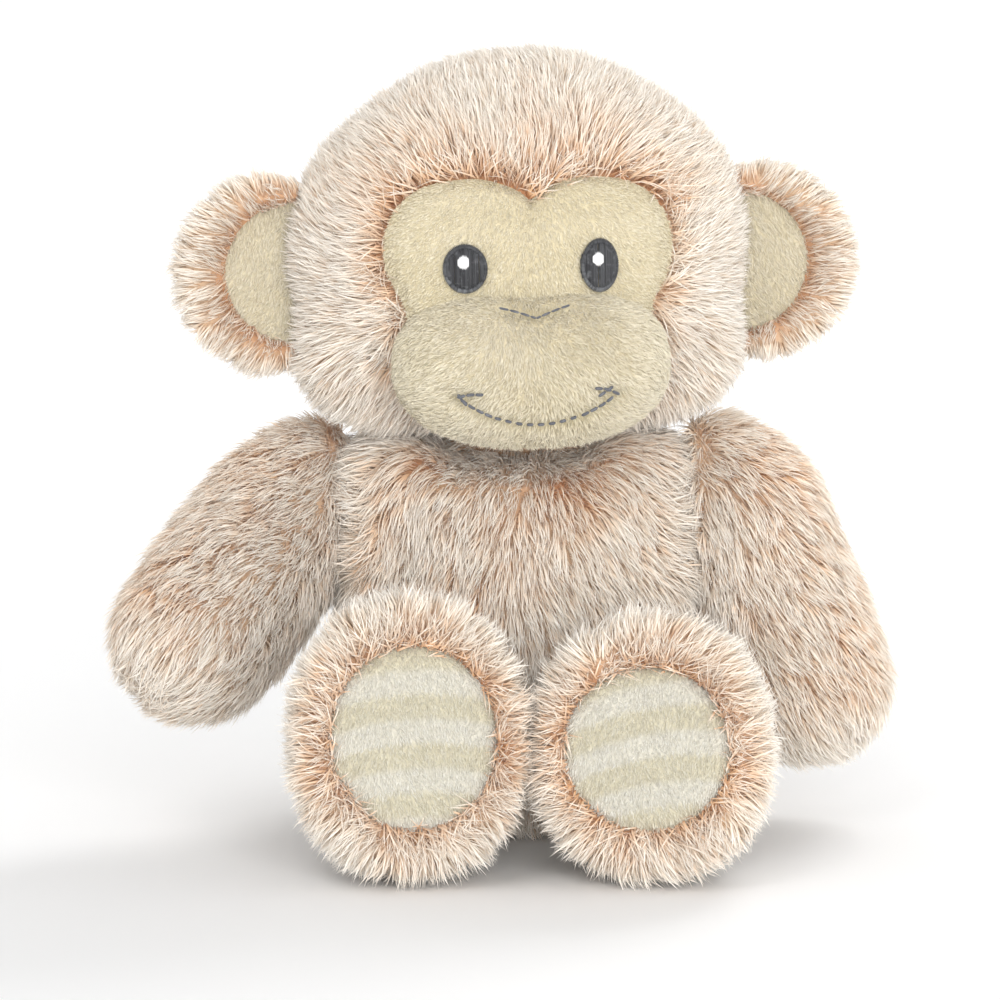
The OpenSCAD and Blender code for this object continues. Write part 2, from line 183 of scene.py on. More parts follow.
def pile_tree():
    """Grows fibres on a skin that carries comb, pile, warm and grow, gathered into locks."""
    g = bpy.data.node_groups.new("woven_pile", "GeometryNodeTree")
    g.interface.new_socket("Skin", in_out="INPUT", socket_type="NodeSocketGeometry")
    for name, kind, default in PILE_INPUTS:
        s = g.interface.new_socket(name, in_out="INPUT", socket_type="NodeSocket" + kind)
        if default is not None:
            s.default_value = default
    g.interface.new_socket("Cloth", in_out="OUTPUT", socket_type="NodeSocketGeometry")
    t = Tree(g)
    src = g.nodes.new("NodeGroupInput")
    inp = {o.name: Sock(t, o) for o in src.outputs if o.name}
    grow = t.named("grow", "FLOAT")
    comb, pile, warm = t.named("comb", "FLOAT_VECTOR"), t.named("pile", "FLOAT"), t.named("warm", "FLOAT")
    scatter = {"distribute_method": "RANDOM"}
    seed = inp["Seed"]
    d1 = t.node("GeometryNodeDistributePointsOnFaces", scatter,
                {"Mesh": inp["Skin"], "Density": inp["Density"] * grow, "Seed": seed})
    d2 = t.node("GeometryNodeDistributePointsOnFaces", scatter,
                {"Mesh": inp["Skin"], "Density": inp["Locks"], "Seed": seed + 1})
    up1, up2 = Sock(t, d1.outputs["Normal"]), Sock(t, d2.outputs["Normal"])
    place = t.add("GeometryNodeInputPosition")
    stand = inp["Stand"]
    # the tip of every lock
    lean2 = t.unit(comb + t.random_vector(1.0, seed + 2) * inp["Sway"])
    reach2 = t.unit(up2 * stand + lean2 * (1 - stand)) * pile * t.random_number(0.75, 1.15, seed + 3)
    locks = t.keep(Sock(t, d2.outputs["Points"]), "lock_tip", "FLOAT_VECTOR", place + reach2)
    locks = t.keep(locks, "lock_tone", "FLOAT", t.random_number(-0.5, 0.5, seed + 4))
    near = t.add("GeometryNodeSampleNearest", {"domain": "POINT"},
                 {"Geometry": locks, "Sample Position": place})

    def from_lock(name, kind):
        return t.add("GeometryNodeSampleIndex", {"data_type": kind, "domain": "POINT"},
                     {"Geometry": locks, "Value": t.named(name, kind), "Index": near})

    lock_tip, lock_tone = from_lock("lock_tip", "FLOAT_VECTOR"), from_lock("lock_tone", "FLOAT")
    length = pile * t.random_number(0.7, 1.1, seed + 5)
    lean1 = t.unit(comb + t.random_vector(1.0, seed + 6) * inp["Frizz"])
    own = place + t.unit(up1 * stand + lean1 * (1 - stand)) * length
    gather = inp["Gather"] * t.random_number(0.55, 1.0, seed + 7)
    tip = own * (1 - gather) + lock_tip * gather + t.random_vector(1.0, seed
        + 8) * inp["Frizz"] * pile * 0.16
    away = t.unit(t.cross(tip - place, up1) + t.random_vector(0.12, seed + 9))
    tone = warm + lock_tone * 0.4 + t.random_number(-0.12, 0.12, seed + 10)
    pts = Sock(t, d1.outputs["Points"])
    for name, kind, val in (("tip", "FLOAT_VECTOR", tip),
                            ("mid", "FLOAT_VECTOR", place + up1 * length * 0.42),
                            ("away", "FLOAT_VECTOR",
                             away * inp["Width"] * t.random_number(0.7, 1.3, seed + 11)),
                            ("tone", "FLOAT", tone), ("root", "FLOAT_VECTOR", place)):
        pts = t.keep(pts, name, kind, val)
    fibre = t.add("GeometryNodeObjectInfo", None, {"Object": inp["Fibre"]}, out="Geometry")
    made = t.add("GeometryNodeRealizeInstances", None,
                 {"Geometry": t.add("GeometryNodeInstanceOnPoints", None,
                                    {"Points": pts, "Instance": fibre})})
    a, c = t.named("along", "FLOAT"), t.named("across", "FLOAT")
    vec = {k: t.named(k, "FLOAT_VECTOR") for k in ("root", "mid", "tip", "away")}
    b = 1 - a
    where = vec["root"] * (b * b) + vec["mid"] * (b * a * 2) + vec["tip"] * (a * a) + vec["away"] * c
    sep = t.node("ShaderNodeSeparateXYZ", None, {0: where})
    floor = t.add("ShaderNodeMath", {"operation": "MAXIMUM"}, {0: Sock(t, sep.outputs[2]), 1: 0.0003})
    where = t.add("ShaderNodeCombineXYZ", None,
                  {0: Sock(t, sep.outputs[0]), 1: Sock(t, sep.outputs[1]), 2: floor})
    made = t.add("GeometryNodeSetPosition", None, {"Geometry": made, "Position": where})
    tone = t.add("ShaderNodeClamp", None, {"Value": t.named("tone", "FLOAT"), "Min": 0.02, "Max": 0.98})
    made = t.keep(made, "OFBake", "FLOAT2",
                  t.add("ShaderNodeCombineXYZ", None, {0: tone, 1: a * 0.96 + 0.02}), "CORNER")
    skin_tone = t.add("ShaderNodeClamp", None, {"Value": warm, "Min": 0.02, "Max": 0.98})
    skin = t.keep(inp["Skin"], "OFBake", "FLOAT2",
                  t.add("ShaderNodeCombineXYZ", None, {0: skin_tone, 1: 0.02}), "CORNER")
    both = t.node("GeometryNodeJoinGeometry")
    for geo in (skin, made):
        g.links.new(geo.out, both.inputs[0])
    soft = t.add("GeometryNodeSetShadeSmooth", None, {"Geometry": Sock(t, both.outputs[0])})
    done = t.add("GeometryNodeSetMaterial", None, {"Geometry": soft, "Material": inp["Finish"]})
    g.links.new(done.out, g.nodes.new("NodeGroupOutput").inputs[0])
    return g


PILE = pile_tree()
SEED = [20]


def link(obj):
    bpy.context.scene.collection.objects.link(obj)
    return obj


WORKING_VALUES = ("comb", "pile", "warm", "grow", "tip", "mid", "away", "tone", "root", "along", "across",
                  "lock_tip", "lock_tone")


def plain(obj, name):
    """The evaluated object as a plain mesh object under its final name."""
    dg = bpy.context.evaluated_depsgraph_get()
    me = bpy.data.meshes.new_from_object(obj.evaluated_get(dg))
    for a in [a.name for a in me.attributes]:
        if a in WORKING_VALUES:
            me.attributes.remove(me.attributes[a])
    bpy.data.objects.remove(obj)
    me.name = name
    return link(bpy.data.objects.new(name, me))


def clothe(name, skin, finish, body, nodes, slot, fibre=LONG, fill=None, **sizes):
    """Grows the pile on one skin, turns the result into a plain piece, parents it to its body and hides the
    parts it replaces.
    """
    obj = link(bpy.data.objects.new(name + "_skin", skin))
    mod = obj.modifiers.new("pile", "NODES")
    mod.node_group = PILE
    SEED[0] += 17
    given = {"Seed": SEED[0], "Fibre": fibre, "Finish": finish, **sizes}
    for item in PILE.interface.items_tree:
        if item.in_out == "INPUT" and item.name in given:
            mod[item.identifier] = given[item.name]
    piece = plain(obj, name)
    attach(piece, body)
    if nodes:
        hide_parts(*nodes)
    return piece


# ---------- shapes ----------
def head_world(p):
    """From the head's own axes to the shared frame."""
    p = np.asarray(p, float)
    x, y, z = p[..., 0], p[..., 1], p[..., 2]
    x, z = x * math.cos(TILT) + z * math.sin(TILT), -x * math.sin(TILT) + z * math.cos(TILT)
    x, y = x * math.cos(TURN) - y * math.sin(TURN), x * math.sin(TURN) + y * math.cos(TURN)
    return np.stack([x, y, z], -1) + HEAD_MID


def head_vector(v):
    return head_world(v) - HEAD_MID


def arm_world(side, p):
    p = np.asarray(p, float)
    a, b = math.radians(-side * ARM_LEAN[side]), math.radians(-ARM_SWING[side])
    x, y, z = p[..., 0], p[..., 1], p[..., 2]
    y, z = y * math.cos(b) - z * math.sin(b), y * math.sin(b) + z * math.cos(b)
    x, z = x * math.cos(a) + z * math.sin(a), -x * math.sin(a) + z * math.cos(a)
    return np.stack([x, y, z], -1) + SHOULDER[side]


def foot_world(side, p):
    p = np.asarray(p, float)
    a, b = math.radians(-SOLE_TILT), math.radians(-side * TOE_IN)
    x, y, z = p[..., 0], p[..., 1], p[..., 2]
    y, z = y * math.cos(a) - z * math.sin(a), y * math.sin(a) + z * math.cos(a)
    x, y = x * math.cos(b) - y * math.sin(b), x * math.sin(b) + y * math.cos(b)
    return np.stack([x, y, z], -1) + np.array([FOOT_X[side], HEEL_Y, FOOT_H[side] / 2 + 0.3])


def unit(v):
    return v / np.maximum(np.linalg.norm(v, axis=-1, keepdims=True), 1e-9)


def step(x, lo, hi):
    t = np.clip((x - lo) / (hi - lo), 0, 1)
    return t * t * (3 - 2 * t)


def bump(p, mid, size):
    return np.exp(-np.sum(((p - np.asarray(mid)) / np.asarray(size)) ** 2, -1))


def smooth_line(pts, n):
    """Catmull-Rom through the points, n steps to each span, in one array."""
    p = np.array(pts, float)
    p = np.vstack([2 * p[0] - p[1], p, 2 * p[-1] - p[-2]])
    out = []
    for i in range(1, len(p) - 2):
        for k in range(n):
            t = k / n
            out.append(0.5 * (2 * p[i] + (p[i + 1] - p[i - 1]) * t
                              + (2 * p[i - 1] - 5 * p[i] + 4 * p[i + 1] - p[i + 2]) * t ** 2
                              + (3 * p[i] - p[i - 1] - 3 * p[i + 1] + p[i + 2]) * t ** 3))
    return np.array(out + [p[-2]])


def noise3(p, scale, seed=0.0):
    """Smooth noise vectors, from sums of sines, one for each point."""
    q = p / scale
    out = np.zeros_like(q)
    r = np.random.default_rng(int(seed * 10) + 3)
    for k in range(5):
        w = r.normal(size=(3, 3)) * (1 + 0.35 * k)
        ph = r.uniform(0, 6.28, 3)
        out += np.sin(q @ w + ph) / (1 + 0.4 * k)
    return out / 2.6


class Skin:
    """A grid of points: rows along, columns around (closed when wrap is set)."""

    def __init__(self, grid, wrap=True):
        self.rows, self.cols = grid.shape[:2]
        self.p = grid.reshape(-1, 3).astype(float)
        idx = np.arange(self.rows * self.cols).reshape(self.rows, self.cols)
        nxt = np.roll(idx, -1, 1) if wrap else idx[:, 1:]
        cur = idx if wrap else idx[:, :-1]
        quads = np.stack([cur[:-1], nxt[:-1], nxt[1:], cur[1:]], -1).reshape(-1, 4)
        self.f = quads
        self.n = None
        self.values = {}

    def normals(self):
        a, b, c, d = (self.p[self.f[:, i]] for i in range(4))
        fn = np.cross(c - a, d - b)
        n = np.zeros_like(self.p)
        for i in range(4):
            np.add.at(n, self.f[:, i], fn)
        return unit(n)

    def face_out(self, mid):
        """Turns the faces so that they look away from mid."""
        if np.sum(self.normals() * (self.p - mid)) < 0:
            self.f = self.f[:, ::-1]

    def part(self, keep):
        """The marked faces as a skin of their own."""
        used, inv = np.unique(self.f[keep], return_inverse=True)
        s = Skin.__new__(Skin)
        s.p, s.f, s.n = self.p[used], inv.reshape(-1, 4), self.n[used]
        s.values = {k: v[used] for k, v in self.values.items()}
        return s

    def where(self, keep):
        """Keeps the faces whose middle passes the test."""
        return self.part(keep(self.p[self.f].mean(1)))

    def mesh(self, name):
        me = bpy.data.meshes.new(name)
        pts, inv = np.unique(np.round(self.p, 4), axis=0, return_inverse=True)
        inv = inv.reshape(-1)
        first = np.zeros(len(pts), int)
        first[inv[::-1]] = np.arange(len(self.p))[::-1]
        faces = []
        for q in inv[self.f]:
            c = list(dict.fromkeys(q.tolist()))
            if len(c) > 2:
                faces.append(c)
        me.from_pydata((pts * MM).tolist(), [], faces)
        for k, v in self.values.items():
            kind = "FLOAT_VECTOR" if v.ndim == 2 else "FLOAT"
            at = me.attributes.new(k, kind, "POINT")
            at.data.foreach_set("vector" if v.ndim == 2 else "value",
                                np.ascontiguousarray(v[first], dtype=np.float32).ravel())
        me.validate()
        return me

    def pile(self, comb, length, warm, grow=1.0):
        """Sets the direction the fibres lie in, their length in mm, their warmth (in the muzzle and arm
        creases also painted shade) and how many grow.
        """
        if self.n is None:
            self.n = self.normals()
        n = self.n
        comb = comb - n * np.sum(comb * n, -1, keepdims=True)
        one = np.ones(len(self.p))
        comb = comb / np.maximum(np.linalg.norm(comb, axis=1, keepdims=True), 1)
        self.values = {"comb": comb, "pile": length * one * MM, "warm": np.clip(warm * one, 0, 1),
                       "grow": grow * one}
        return self


def turned(profile, rows, cols, axis="z"):
    """A surface of revolution from (radius, height) points, smoothed."""
    line = smooth_line(profile, rows)
    line[:, 0] = np.maximum(line[:, 0], 0)
    a = np.linspace(0, 2 * math.pi, cols, endpoint=False) + math.pi / 2
    r, h = line[:, :1], line[:, 1:]
    x, y, z = r * np.cos(a), r * np.sin(a), h + 0 * a
    grid = {"z": np.stack([x, y, z], -1), "x": np.stack([z, x, y], -1), "y": np.stack([y, z, x], -1)}[axis]
    return grid


def round_profile(a, b, p, n=40):
    t = np.linspace(0, math.pi, n)
    c, s = np.cos(t), np.sin(t)
    s[0] = s[-1] = 0
    return np.stack([b * np.abs(s) ** (2 / p), -a * np.sign(c) * np.abs(c) ** (2 / p)], -1)


def inset(profile, d):
    """The profile moved inwards by d."""
    q = np.array(profile, float)
    t = np.gradient(q, axis=0)
    n = unit(np.stack([t[:, 1], -t[:, 0]], -1))
    q = q - n * d
    q[:, 0] = np.maximum(q[:, 0], 0)
    q[0, 0] = q[-1, 0] = 0
    return q


# ---------- finishes ----------
def lin(hexa):
    v = [int(hexa[i:i + 2], 16) / 255 for i in (1, 3, 5)]
    return tuple(c / 12.92 if c <= 0.04045 else ((c + 0.055) / 1.055) ** 2.4 for c in v)


def finish(name, sheen=0.3, rough=0.85):
    m = bpy.data.materials.new(name)
    m.use_nodes = True
    t = Tree(m.node_tree)
    m.node_tree.nodes.clear()
    b = t.node("ShaderNodeBsdfPrincipled", None, {"Roughness": rough, "Sheen Weight": sheen,
                                                  "Sheen Roughness": 0.5, "Specular IOR Level": 0.25})
    out = t.node("ShaderNodeOutputMaterial")
    m.node_tree.links.new(b.outputs[0], out.inputs[0])
    return m, t, b


def pile_finish(name, root, mid, tip, stops=(0.1, 0.42, 0.45, 0.85), sheen=0.35):
    """Colour runs from the root of a fibre to its tip; each colour is a cool one and a warmer one. In the
    muzzle creases the warmer end is painted shade, in the arm crease partly so.
    """
    m, t, b = finish(name, sheen)
    uv = t.node("ShaderNodeUVMap", {"uv_map": "OFBake"})
    sep = t.node("ShaderNodeSeparateXYZ", None, {0: Sock(t, uv.outputs[0])})
    u, v = Sock(t, sep.outputs[0]), Sock(t, sep.outputs[1])
    cols = [t.mix(u, (*lin(a), 1), (*lin(c), 1)) for a, c in (root, mid, tip)]
    low = t.mix(t.smooth(v, stops[0], stops[1]), cols[0], cols[1])
    col = t.mix(t.smooth(v, stops[2], stops[3]), low, cols[2])
    m.node_tree.links.new(col.out, b.inputs["Base Color"])
    rough = 0.95 - v * 0.2
    m.node_tree.links.new(rough.out, b.inputs["Roughness"])
    return m


FROST = pile_finish("frosted_fur", ("#E8CDAF", "#BA7A48"), ("#EFE2D1", "#E2B68B"), ("#F4EEE5", "#F3E6D6"))
CREAM = pile_finish("cream_short_plush", ("#DCD2B8", "#C9BD9C"), ("#E3DAC3", "#D9CFB3"),
                    ("#ECE5D3", "#E2D9C2"),
                    (0.0, 0.5, 0.5, 1.0), 0.45)
SOLE_CLOTH = pile_finish("striped_sole_plush", ("#CFC8B1", "#D7D3C7"), ("#D6D0BC", "#DFDCD2"),
                         ("#DCD8C7", "#E6E4DC"),
                   (0.0, 0.5, 0.5, 1.0), 0.45)


def thread_finish(name, dark, light):
    m, t, b = finish(name, 0.15, 0.5)
    co = t.add("ShaderNodeTexCoord", out="Object")
    # Lighter flecks from noise, and threads lifted by their tone attribute, are painted sheen: the light
    # colour stands for light caught on the thread.
    n = t.add("ShaderNodeTexNoise", None, {"Vector": co, "Scale": 900.0, "Detail": 3.0})
    painted_sheen = t.add("ShaderNodeAttribute", {"attribute_name": "tone"}, out="Fac")
    f = t.add("ShaderNodeMath", {"operation": "MAXIMUM"}, {0: t.smooth(n, 0.45, 0.8) * 0.45, 1: painted_sheen})
    m.node_tree.links.new(t.mix(f, (*lin(dark), 1), (*lin(light), 1)).out, b.inputs["Base Color"])
    w = t.add("ShaderNodeTexNoise", None, {"Vector": co, "Scale": 4000.0, "Detail": 1.0})
    bp = t.add("ShaderNodeBump", None, {"Strength": 0.4, "Distance": 0.0001, "Height": w})
    m.node_tree.links.new(bp.out, b.inputs["Normal"])
    return m


def cloth_finish(name, a, c, scale):
    m, t, b = finish(name, 0.2, 0.9)
    co = t.add("ShaderNodeTexCoord", out="Object")
    n = t.add("ShaderNodeTexNoise", None, {"Vector": co, "Scale": scale, "Detail": 6.0})
    m.node_tree.links.new(t.mix(n, (*lin(a), 1), (*lin(c), 1)).out, b.inputs["Base Color"])
    v = t.add("ShaderNodeTexVoronoi", None, {"Vector": co, "Scale": scale * 1.5})
    bp = t.add("ShaderNodeBump", None, {"Strength": 0.5, "Distance": 0.0004, "Height": v})
    m.node_tree.links.new(bp.out, b.inputs["Normal"])
    return m


# The second colour of each thread is the painted sheen it is flecked with.
DARK = thread_finish("dark_satin_thread", "#242427", "#85878A")
GREY = thread_finish("grey_thread", "#5E6066", "#94969B")
WHITE = thread_finish("white_satin_thread", "#E4E4E4", "#FAFAFA")
WADDING = cloth_finish("white_wadding", "#EDEBE4", "#FBFAF6", 260.0)
BEANS = cloth_finish("bean_bag_cloth", "#B9BEC3", "#D9DDE0", 500.0)
TAPE = cloth_finish("blank_label_tape", "#EFEDE6", "#FBFAF7", 1400.0)

# ---------- head ----------
right_edge = [(0, 12.2), (2.6, 14.4), (6.2, 16.0), (10.5, 17.1), (15.2, 17.2), (21.8, 16.2), (27.9, 13.0),
              (31.9, 7.2), (33.0, 0.7), (32.0, -4.8), (28.9, -10.8), (26.6, -16.8), (16, -24), (0, -26)]
half = smooth_line(right_edge, 6)
HEART = np.vstack([half, (half * [-1, 1])[::-1][1:-1]])


def heart_distance(x, z):
    """Signed distance in mm from the outline of the upper face, negative inside."""
    q = np.stack([np.ravel(x), np.ravel(z)], -1)
    best = np.full(len(q), 1e9)
    inside = np.zeros(len(q), bool)
    for a, b in zip(HEART, np.roll(HEART, -1, 0)):
        e, w = b - a, q - a
        k = np.clip((w @ e) / max(e @ e, 1e-9), 0, 1)
        best = np.minimum(best, np.linalg.norm(w - k[:, None] * e, axis=1))
        cross = ((a[1] > q[:, 1]) != (b[1] > q[:, 1]))
        with np.errstate(divide="ignore", invalid="ignore"):
            xs = a[0] + (q[:, 1] - a[1]) * e[0] / (e[1] if e[1] else 1e-9)
        inside ^= cross & (q[:, 0] < xs)
    return np.where(inside, -best, best).reshape(np.shape(x))


def muzzle_depth(p, grow=0.0):
    """Below 1 inside the muzzle, above 1 outside."""
    q = (p - MUZZLE_MID) / np.array([32.5 + grow, 20.0 + grow, 20.0 + grow])
    return (np.abs(q[..., 0]) ** 2.3 + (q[..., 1] ** 2 + q[..., 2] ** 2) ** 1.15) ** (1 / 2.3)


cut = math.acos(16.85 / (HEAD_A - SKIN))
th = np.concatenate([np.linspace(0, cut, 34), np.linspace(cut, math.pi - cut, 21)[1:],
                     np.linspace(math.pi - cut, math.pi, 34)[1:]])
prof = np.stack([(HEAD_B - SKIN) * np.sin(th), -(HEAD_A - SKIN) * np.cos(th)], -1)
prof[0, 0] = prof[-1, 0] = 0
a = np.linspace(0, 2 * math.pi, 144, endpoint=False)
head = Skin(np.stack([np.repeat(prof[:, 1:], 144, 1), prof[:, :1] * np.cos(a), prof[:, :1] * np.sin(a)],
                     -1))
local = head.p.copy()
head.face_out([0, 0, 0])
jaw = step(-local[:, 2], 6, 30) * step(50 - np.abs(np.abs(local[:, 0]) - 34) * 1.6, 10,
                                       44) * step(local[:, 1] + 40, -4, 22)
jaw = jaw * step((muzzle_depth(local) - 1) * 24, 0, 9)
shape = local.copy()
shape[:, 0] += np.sign(local[:, 0]) * 9.5 * jaw * step(np.abs(local[:, 0]), 4, 26)
shape[:, 2] -= 2.5 * jaw
shape[:, 0] += 0.05 * np.maximum(local[:, 2], 0)
corner = bump(np.abs(shape) * [1, 0, 1], (33, 0, 33), (14, 60, 14)) * (local[:, 2] > 0)
shape -= unit(shape) * (1.2 * corner)[:, None]
head.p = shape
local_n = head.normals()
front = local[:, 1] < -8
out = heart_distance(local[:, 0], local[:, 2])
out = np.where(front, out, 30.0)
mz = (muzzle_depth(local) - 1) * 24
edge = np.minimum(np.abs(out), 60)
edge = np.where(mz < out, np.maximum(mz, 0), np.maximum(out, 0))
grow = np.where(front, step(np.minimum(out, 40), -0.6, 0.6) * step(mz, -1.2, 0.6), 1.0)
comb = local - np.array([0, -56.0, -8.0])
comb = unit(comb) + 0.55 * noise3(local, 13.0, 1) + np.array([0, 0.15, 0.0])
over = step(local[:, 2], 0, 14)
ring = np.exp(-(np.maximum(edge, 0) / (5.0 + 6.5 * over)) ** 2) * (0.75 + 0.6 * noise3(local, 4, 40)[:, 0]
    + 0.4 * over)
ring = np.clip(ring, 0, 1.2)
rim = np.exp(-(np.maximum(edge, 0) / 2.6) ** 2)
comb = unit(comb) * (1 - 0.8 * rim[:, None])
grow = grow * (1 + 0.9 * rim)
length = 7.4 + 2.6 * ring + 2.0 * jaw + 0.5 * noise3(local, 15, 2)[:, 0]
top = step(local[:, 2], -10, 34)
warm = 0.08 + (0.42 + 0.2 * over) * ring + 0.14 * noise3(local, 9, 3)[:, 0] - 0.05 * top
parting = np.exp(-(local[:, 0] / 3.0) ** 2) * step(local[:, 2], 10, 18) * step(-local[:, 1], 16, 34)
warm = warm + 0.3 * parting + 0.08 * step(-local[:, 2], 14, 40)
comb = comb + np.array([0, 0, -0.5]) * jaw[:, None]
head.n = head_vector(local_n)
head.p = head_world(shape)
head.pile(head_vector(comb), length, warm, grow)
head_local = local
EYE_X, EYE_Z = 15.3, -2.7
EYE_HALF = {1: (4.3, 6.0), -1: (4.9, 5.5)}


def head_part(keep):
    """A panel of the head: the faces that pass the test and aren't under the face or muzzle."""
    mid = head_local[head.f].mean(1)
    return head.part(keep(mid) & (grow[head.f].max(1) > 0.01))


FUR = dict(Density=3.0e6, Locks=0.09e6, Width=0.00042, Stand=0.44, Gather=0.36, Frizz=0.36, Sway=0.4)
clothe("head_side_right_fur", head_part(lambda m: m[:, 0] < -16.8).mesh("head_side_right"), FROST, "head",
       ["head_side_right"], "fur", fill=0.9, **FUR)
clothe("head_side_left_fur", head_part(lambda m: m[:, 0] > 16.8).mesh("head_side_left"), FROST, "head",
       ["head_side_left"], "fur", fill=0.9, **FUR)
crown = lambda m: (np.abs(m[:, 0]) < 16.8)
clothe("head_crown_fur",
       head_part(lambda m: crown(m) & ~((m[:, 1] < 0) & (m[:, 2] < 0))).mesh("head_crown"),
       FROST, "head", ["head_crown"], "fur", fill=0.9, **FUR)
clothe("head_chin_fur", head_part(lambda m: crown(m) & (m[:, 1] < 0) & (m[:, 2] < 0)).mesh("head_chin"),
       FROST, "head", ["head_chin"], "fur", fill=0.9, **FUR)

# upper face: rings from the middle out to the heart's edge
mid = np.array([0.0, -5.0])
rings = np.concatenate([np.linspace(0, 0.9, 26), np.linspace(0.93, 1.0, 6)])
xz = mid + rings[:, None, None] * (HEART - mid)
x, z = xz[..., 0], xz[..., 1]
y = -HEAD_B * np.sqrt(np.maximum(1 - (x / HEAD_A) ** 2 - (z / HEAD_B) ** 2, 0.05))
rim = step(rings, 0.84, 1.0)[:, None] + 0 * x
lobes = np.exp(-((np.abs(x) - 17) / 11) ** 2 - ((z - 5) / 9) ** 2)
sockets = np.exp(-((np.abs(x) - 15.3) / 7) ** 2 - ((z + 3) / 8) ** 2)
groove = np.exp(-(x / 3.2) ** 2) * step(z, 0, 12)
y = y + 1.6 + 2.2 * rim ** 2 - 1.0 * lobes + 0.7 * sockets + 0.9 * groove
face = Skin(np.stack([x, y, z], -1))
face_local = face.p.copy()
face.face_out([0, 0, 0])
face.n = head_vector(face.normals())
comb = np.stack([face_local[:, 0] * 0.06, 0 * face_local[:, 0], -1.0 + 0 * face_local[:, 0]],
                -1) + 0.5 * noise3(face_local, 7, 4)
face.p = head_world(face_local)
shade = 0.6 + 0.3 * noise3(face_local, 8, 5)[:, 0] + 0.5 * np.ravel(rim) ** 2
PLUSH = dict(Density=9.0e6, Locks=0.4e6, Width=0.00028, Stand=0.4, Gather=0.3, Frizz=0.4, Sway=0.4)
clear = np.ones(len(face_local))
for s in (-1, 1):
    e = np.hypot((face_local[:, 0] - s * EYE_X) / EYE_HALF[s][0],
                 (face_local[:, 2] - EYE_Z) / EYE_HALF[s][1])
    clear *= step(e, 0.95, 1.12)
face.pile(head_vector(comb), 1.1, shade, clear)
clothe("upper_face_plush", face.mesh("upper_face"), CREAM, "head", ["face_panel"], "cream_plush",
       fibre=SHORT,
       fill=0.9, **PLUSH)

# muzzle: a soft oval pillow with dimples at the ends of the smile
SMILE = np.array([(-17.6, -31.6), (-14.5, -33.8), (-9.8, -36.2), (-4.5, -37.7), (0, -38.1),
                  (4.5, -37.7), (9.8, -36.2),
                  (14.5, -33.8), (17.6, -31.6)])
grid = turned(round_profile(32.5 - 1.5, 20.0 - 1.5, 2.3, 30), 3, 120, "x")
muz = Skin(grid + MUZZLE_MID)
ml = muz.p.copy()
muz.face_out(MUZZLE_MID)
n0 = muz.normals()
fr = ml[:, 1] < -38
smile_d = np.full(len(ml), 1e9)
fine = smooth_line(SMILE, 6)
for q in fine:
    smile_d = np.minimum(smile_d, np.hypot(ml[:, 0] - q[0], ml[:, 2] - q[1]))
press = np.zeros(len(ml))
press += 0.9 * np.exp(-(smile_d / 1.6) ** 2)
for s in (-1, 1):
    press += 1.5 * np.exp(-((ml[:, 0] - s * 17.2) / 3.6) ** 2 - ((ml[:, 2] + 31.4) / 2.6) ** 2)
press += 0.8 * np.exp(-(ml[:, 0] / 7) ** 2 - ((ml[:, 2] + 8) / 2.5) ** 2)
press += 0.9 * np.exp(-(ml[:, 0] / 8) ** 2 - ((ml[:, 2] + 12.6) / 1.6) ** 2)
press -= 0.8 * np.exp(-((np.abs(ml[:, 0]) - 17) / 9) ** 2 - ((ml[:, 2] + 22) / 8) ** 2)
ml = ml - n0 * (press * fr)[:, None]
muz.p = ml
comb = np.stack([ml[:, 0] * 0.055, 0 * ml[:, 0], -0.75 + 0 * ml[:, 2]], -1) + 0.55 * noise3(ml, 6.5, 6)
muz.n = head_vector(muz.normals())
muz.p = head_world(ml)
nose_d = np.hypot(np.maximum(np.abs(ml[:, 0]) - 8.2, 0), ml[:, 2] + 13.8
                  - np.minimum(np.abs(ml[:, 0]), 8.2) * 0.28)
clear = 1 - fr * (1 - step(np.minimum(smile_d, nose_d), 0.35, 0.9))
# The pressed smile, dimples and nose creases take the darker cream: painted shade in the creases, on top of
# a random tone.
muz.pile(head_vector(comb), 1.9, 0.25 + 0.35 * noise3(ml, 7, 7)[:, 0]
         + 0.6 * np.minimum(np.maximum(press, 0), 1) * fr, clear)
mid3 = ml[muz.f].mean(1)
far = (mid3[:, 0] / (HEAD_A - 12)) ** 2 + (mid3[:, 1] ** 2 + mid3[:, 2] ** 2) / (HEAD_B - 12) ** 2 > 1
clothe("muzzle_plush", muz.part(far).mesh("muzzle"), CREAM, "head", ["muzzle_panel"],
       "cream_plush", fibre=SHORT, fill=0.9, **PLUSH)

# ---------- torso ----------
tg = turned(inset(TORSO, SKIN), 6, 144)
body = Skin(tg)
body.face_out([0, 0, 45])
wide = step(body.p[:, 2], 30, 45) * step(np.abs(body.p[:, 0]), 20, 34)
body.p += unit(body.p * [1, 1, 0] + 1e-6) * (3.0 * wide)[:, None]
body.p[:, 2] += 5.5 * step(np.abs(body.p[:, 0]), 12, 26) * step(body.p[:, 2], 62, 80)
p = body.p
body.n = body.normals()
radial = unit(p * [1, 1, 0] + 1e-6)
neck = step(p[:, 2], 72, 88)
comb = np.array([0, 0, -1.0]) + 0.42 * noise3(p, 11, 8) + radial * (0.25 + 1.2 * neck[:, None])
under = step(-p[:, 2], -6, -1)
sidep = step(np.abs(p[:, 0]), 26, 35) * step(p[:, 2], 56, 66)
comb = comb + (radial * [1.9, 0.4, 0] + [0, 0, 1.3]) * sidep[:, None]
comb = comb + [0, 0, 0.8] * (sidep * step(p[:, 2], 72, 84))[:, None]
length = (8.2 + 4.2 * sidep + 0.7 * noise3(p, 13, 9)[:, 0]) * (1 - 0.65 * under)
warm = 0.14 + 0.5 * np.clip(noise3(p, 8, 10)[:, 0], 0, 1) + 0.1 * neck
body.pile(comb, length, warm, 1.0)
BELLY = {**FUR, "Density": 2.75e6, "Locks": 0.08e6, "Gather": 0.42, "Sway": 0.5, "Stand": 0.38}
clothe("belly_fur", body.where(lambda m: (m[:, 1] < 0) & (m[:, 2] > 2)).mesh("belly"), FROST,
       "torso", ["torso_front"], "fur", fill=0.85, **BELLY)
